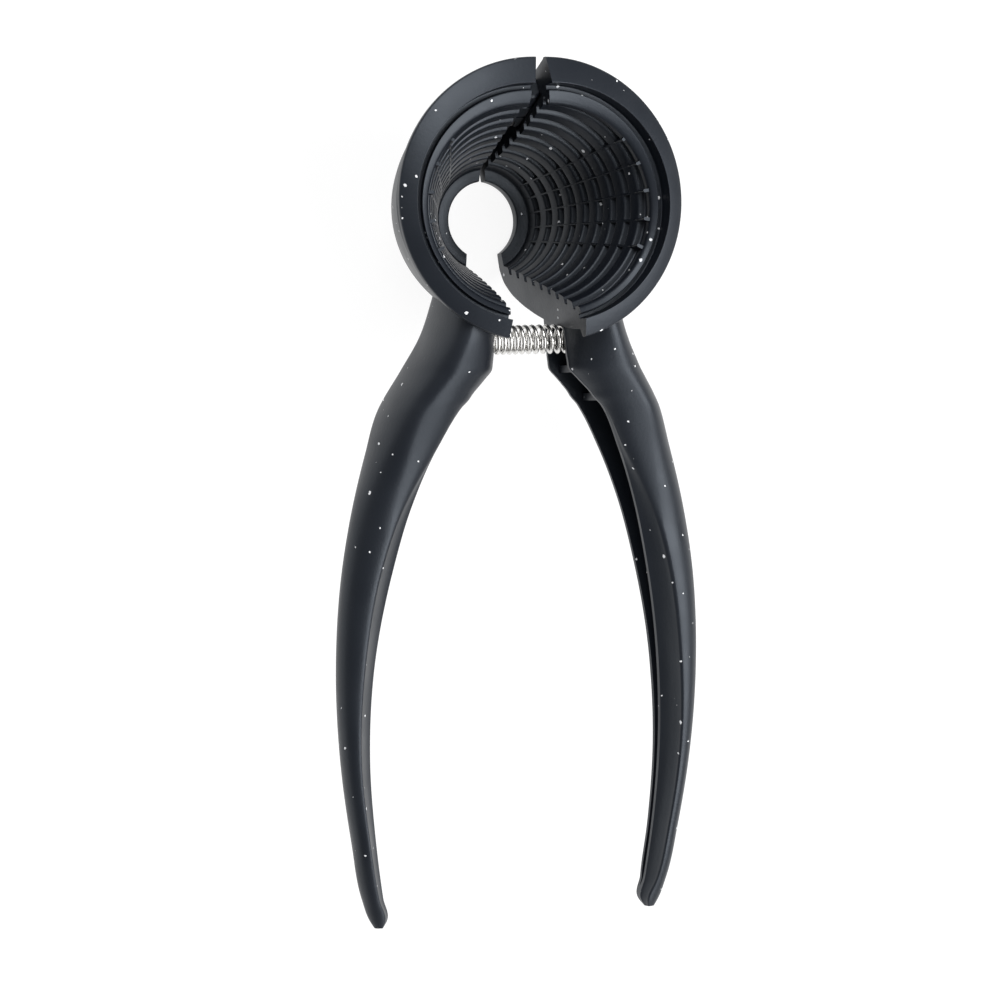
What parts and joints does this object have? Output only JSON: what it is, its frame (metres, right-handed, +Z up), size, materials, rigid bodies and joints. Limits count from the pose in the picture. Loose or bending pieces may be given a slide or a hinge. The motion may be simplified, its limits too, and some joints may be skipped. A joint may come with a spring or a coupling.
{
  "type": "cone nutcracker",
  "caption": "Hand nutcracker: two cast halves form a ringed cone with channel handles, turn on a pin at the cone's back and are held open by a coil spring.",
  "frame": {"origin": "bottom centre of the bounding box, handles open as at rest", "axes": "+Z up the cone's axis out of its mouth, +Y from the handle tips to the hinge, +X to the right half"},
  "size_m": [0.0794, 0.1798, 0.0469],
  "materials": {
    "black_coat": "satin black coat on a cast body, slightly grained",
    "pin_steel": "plain steel",
    "spring_steel": "bright drawn wire"
  },
  "bodies": {
    "left_half": {"jaw_handle_left": "black_coat", "hinge_pin": "pin_steel", "coil_spring": "spring_steel"},
    "right_half": {"jaw_handle_right": "black_coat"}
  },
  "joints": [
    {"name": "squeeze", "type": "hinge", "parent": "left_half", "child": "right_half", "pos_m": [0, 0.08741, 0.04696], "axis": [0, -0.3387, -0.9409], "range_deg": [0, 18], "stiffness_Nm_per_rad": 3, "deforming": ["coil_spring"]}
  ]
}
